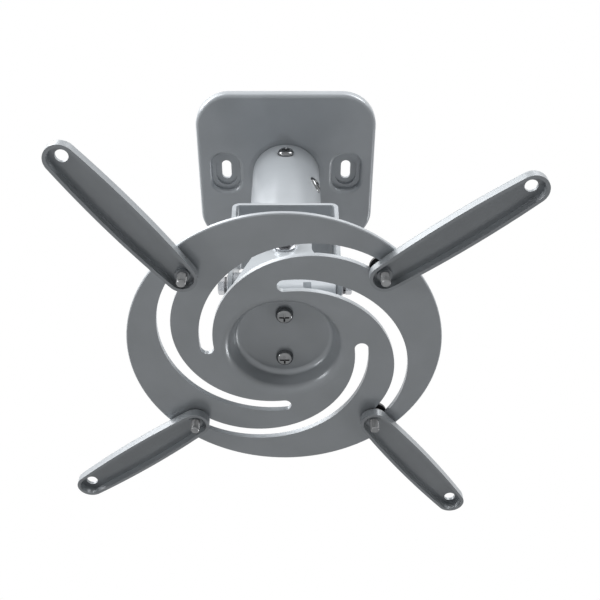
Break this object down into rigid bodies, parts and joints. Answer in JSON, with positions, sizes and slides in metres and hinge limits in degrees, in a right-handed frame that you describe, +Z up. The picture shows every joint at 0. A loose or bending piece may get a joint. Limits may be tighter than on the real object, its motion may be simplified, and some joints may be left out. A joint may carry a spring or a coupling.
{
  "type": "projector ceiling mount",
  "caption": "Ceiling mount for a projector: pocketed plate, short column, cross hinge and a dished disc whose spiral slots carry adjustable arms.",
  "frame": {"origin": "centre of the face that lies on the ceiling, on the column's axis", "axes": "+Z up into the ceiling, +Y away from the front lock screw, +X to the right seen from the front; the mount hangs below the origin"},
  "size_m": [0.2578, 0.2578, 0.2234],
  "materials": {
    "silver_casting": "silver painted die casting, satin",
    "silver_sheet": "silver grey powder coat on steel sheet, satin",
    "zinc_casting": "silver painted casting",
    "chrome_screw": "bright chrome",
    "zinc_fastener": "zinc plated",
    "dark_spring": "blackened spring steel",
    "black_nylon": "black nylon"
  },
  "bodies": {
    "ceiling": {"ceiling_plate": "silver_casting"},
    "swivel_column": {"column": "silver_casting", "lock_screw_front": "chrome_screw", "lock_screw_side": "chrome_screw", "column_bolt": "zinc_fastener", "column_washer": "zinc_fastener", "column_nut": "zinc_fastener", "upper_yoke": "silver_sheet"},
    "cross": {"cross_block": "zinc_casting", "tilt_washer_left": "zinc_fastener", "tilt_spring_left": "dark_spring", "tilt_bolt_left": "zinc_fastener", "tilt_washer_right": "zinc_fastener", "tilt_spring_right": "dark_spring", "tilt_bolt_right": "zinc_fastener", "roll_washer_front": "zinc_fastener", "roll_spring_front": "dark_spring", "roll_bolt_front": "zinc_fastener", "roll_washer_back": "zinc_fastener", "roll_spring_back": "dark_spring", "roll_bolt_back": "zinc_fastener"},
    "platform": {"lower_yoke": "silver_sheet", "slotted_disc": "silver_sheet", "dish_screw_front": "chrome_screw", "dish_nut_front": "zinc_fastener", "dish_screw_back": "chrome_screw", "dish_nut_back": "zinc_fastener"},
    "carriage_1": {"arm_screw_1": "zinc_fastener", "arm_bush_1": "black_nylon", "arm_spacer_1": "black_nylon"},
    "swing_arm_1": {"arm_1": "silver_sheet"},
    "carriage_2": {"arm_screw_2": "zinc_fastener", "arm_bush_2": "black_nylon", "arm_spacer_2": "black_nylon"},
    "swing_arm_2": {"arm_2": "silver_sheet"},
    "carriage_3": {"arm_screw_3": "zinc_fastener", "arm_bush_3": "black_nylon", "arm_spacer_3": "black_nylon"},
    "swing_arm_3": {"arm_3": "silver_sheet"},
    "carriage_4": {"arm_screw_4": "zinc_fastener", "arm_bush_4": "black_nylon", "arm_spacer_4": "black_nylon"},
    "swing_arm_4": {"arm_4": "silver_sheet"}
  },
  "joints": [
    {"name": "swivel", "type": "hinge", "parent": "ceiling", "child": "swivel_column", "pos_m": [0, 0, -0.03], "axis": [0, 0, 1], "continuous": true},
    {"name": "tilt", "type": "hinge", "parent": "swivel_column", "child": "cross", "pos_m": [0, 0, -0.1515], "axis": [1, 0, 0], "range_deg": [-20, 20]},
    {"name": "roll", "type": "hinge", "parent": "cross", "child": "platform", "pos_m": [0, 0, -0.1515], "axis": [0, 1, 0], "range_deg": [-15, 15]},
    {"name": "slide_1", "type": "hinge", "parent": "platform", "child": "carriage_1", "pos_m": [0.00735, 0.01515, -0.212], "axis": [0, 0, 1], "range_deg": [-50, 0]},
    {"name": "swing_1", "type": "hinge", "parent": "carriage_1", "child": "swing_arm_1", "pos_m": [0.05254, 0.05254, -0.213], "axis": [0, 0, 1], "range_deg": [-30, 30]},
    {"name": "slide_2", "type": "hinge", "parent": "platform", "child": "carriage_2", "pos_m": [-0.01515, 0.00735, -0.212], "axis": [0, 0, 1], "range_deg": [-50, 0]},
    {"name": "swing_2", "type": "hinge", "parent": "carriage_2", "child": "swing_arm_2", "pos_m": [-0.05254, 0.05254, -0.213], "axis": [0, 0, 1], "range_deg": [-30, 30]},
    {"name": "slide_3", "type": "hinge", "parent": "platform", "child": "carriage_3", "pos_m": [-0.00735, -0.01515, -0.212], "axis": [0, 0, 1], "range_deg": [-50, 0]},
    {"name": "swing_3", "type": "hinge", "parent": "carriage_3", "child": "swing_arm_3", "pos_m": [-0.05254, -0.05254, -0.213], "axis": [0, 0, 1], "range_deg": [-30, 30]},
    {"name": "slide_4", "type": "hinge", "parent": "platform", "child": "carriage_4", "pos_m": [0.01515, -0.00735, -0.212], "axis": [0, 0, 1], "range_deg": [-50, 0]},
    {"name": "swing_4", "type": "hinge", "parent": "carriage_4", "child": "swing_arm_4", "pos_m": [0.05254, -0.05254, -0.213], "axis": [0, 0, 1], "range_deg": [-30, 30]}
  ]
}
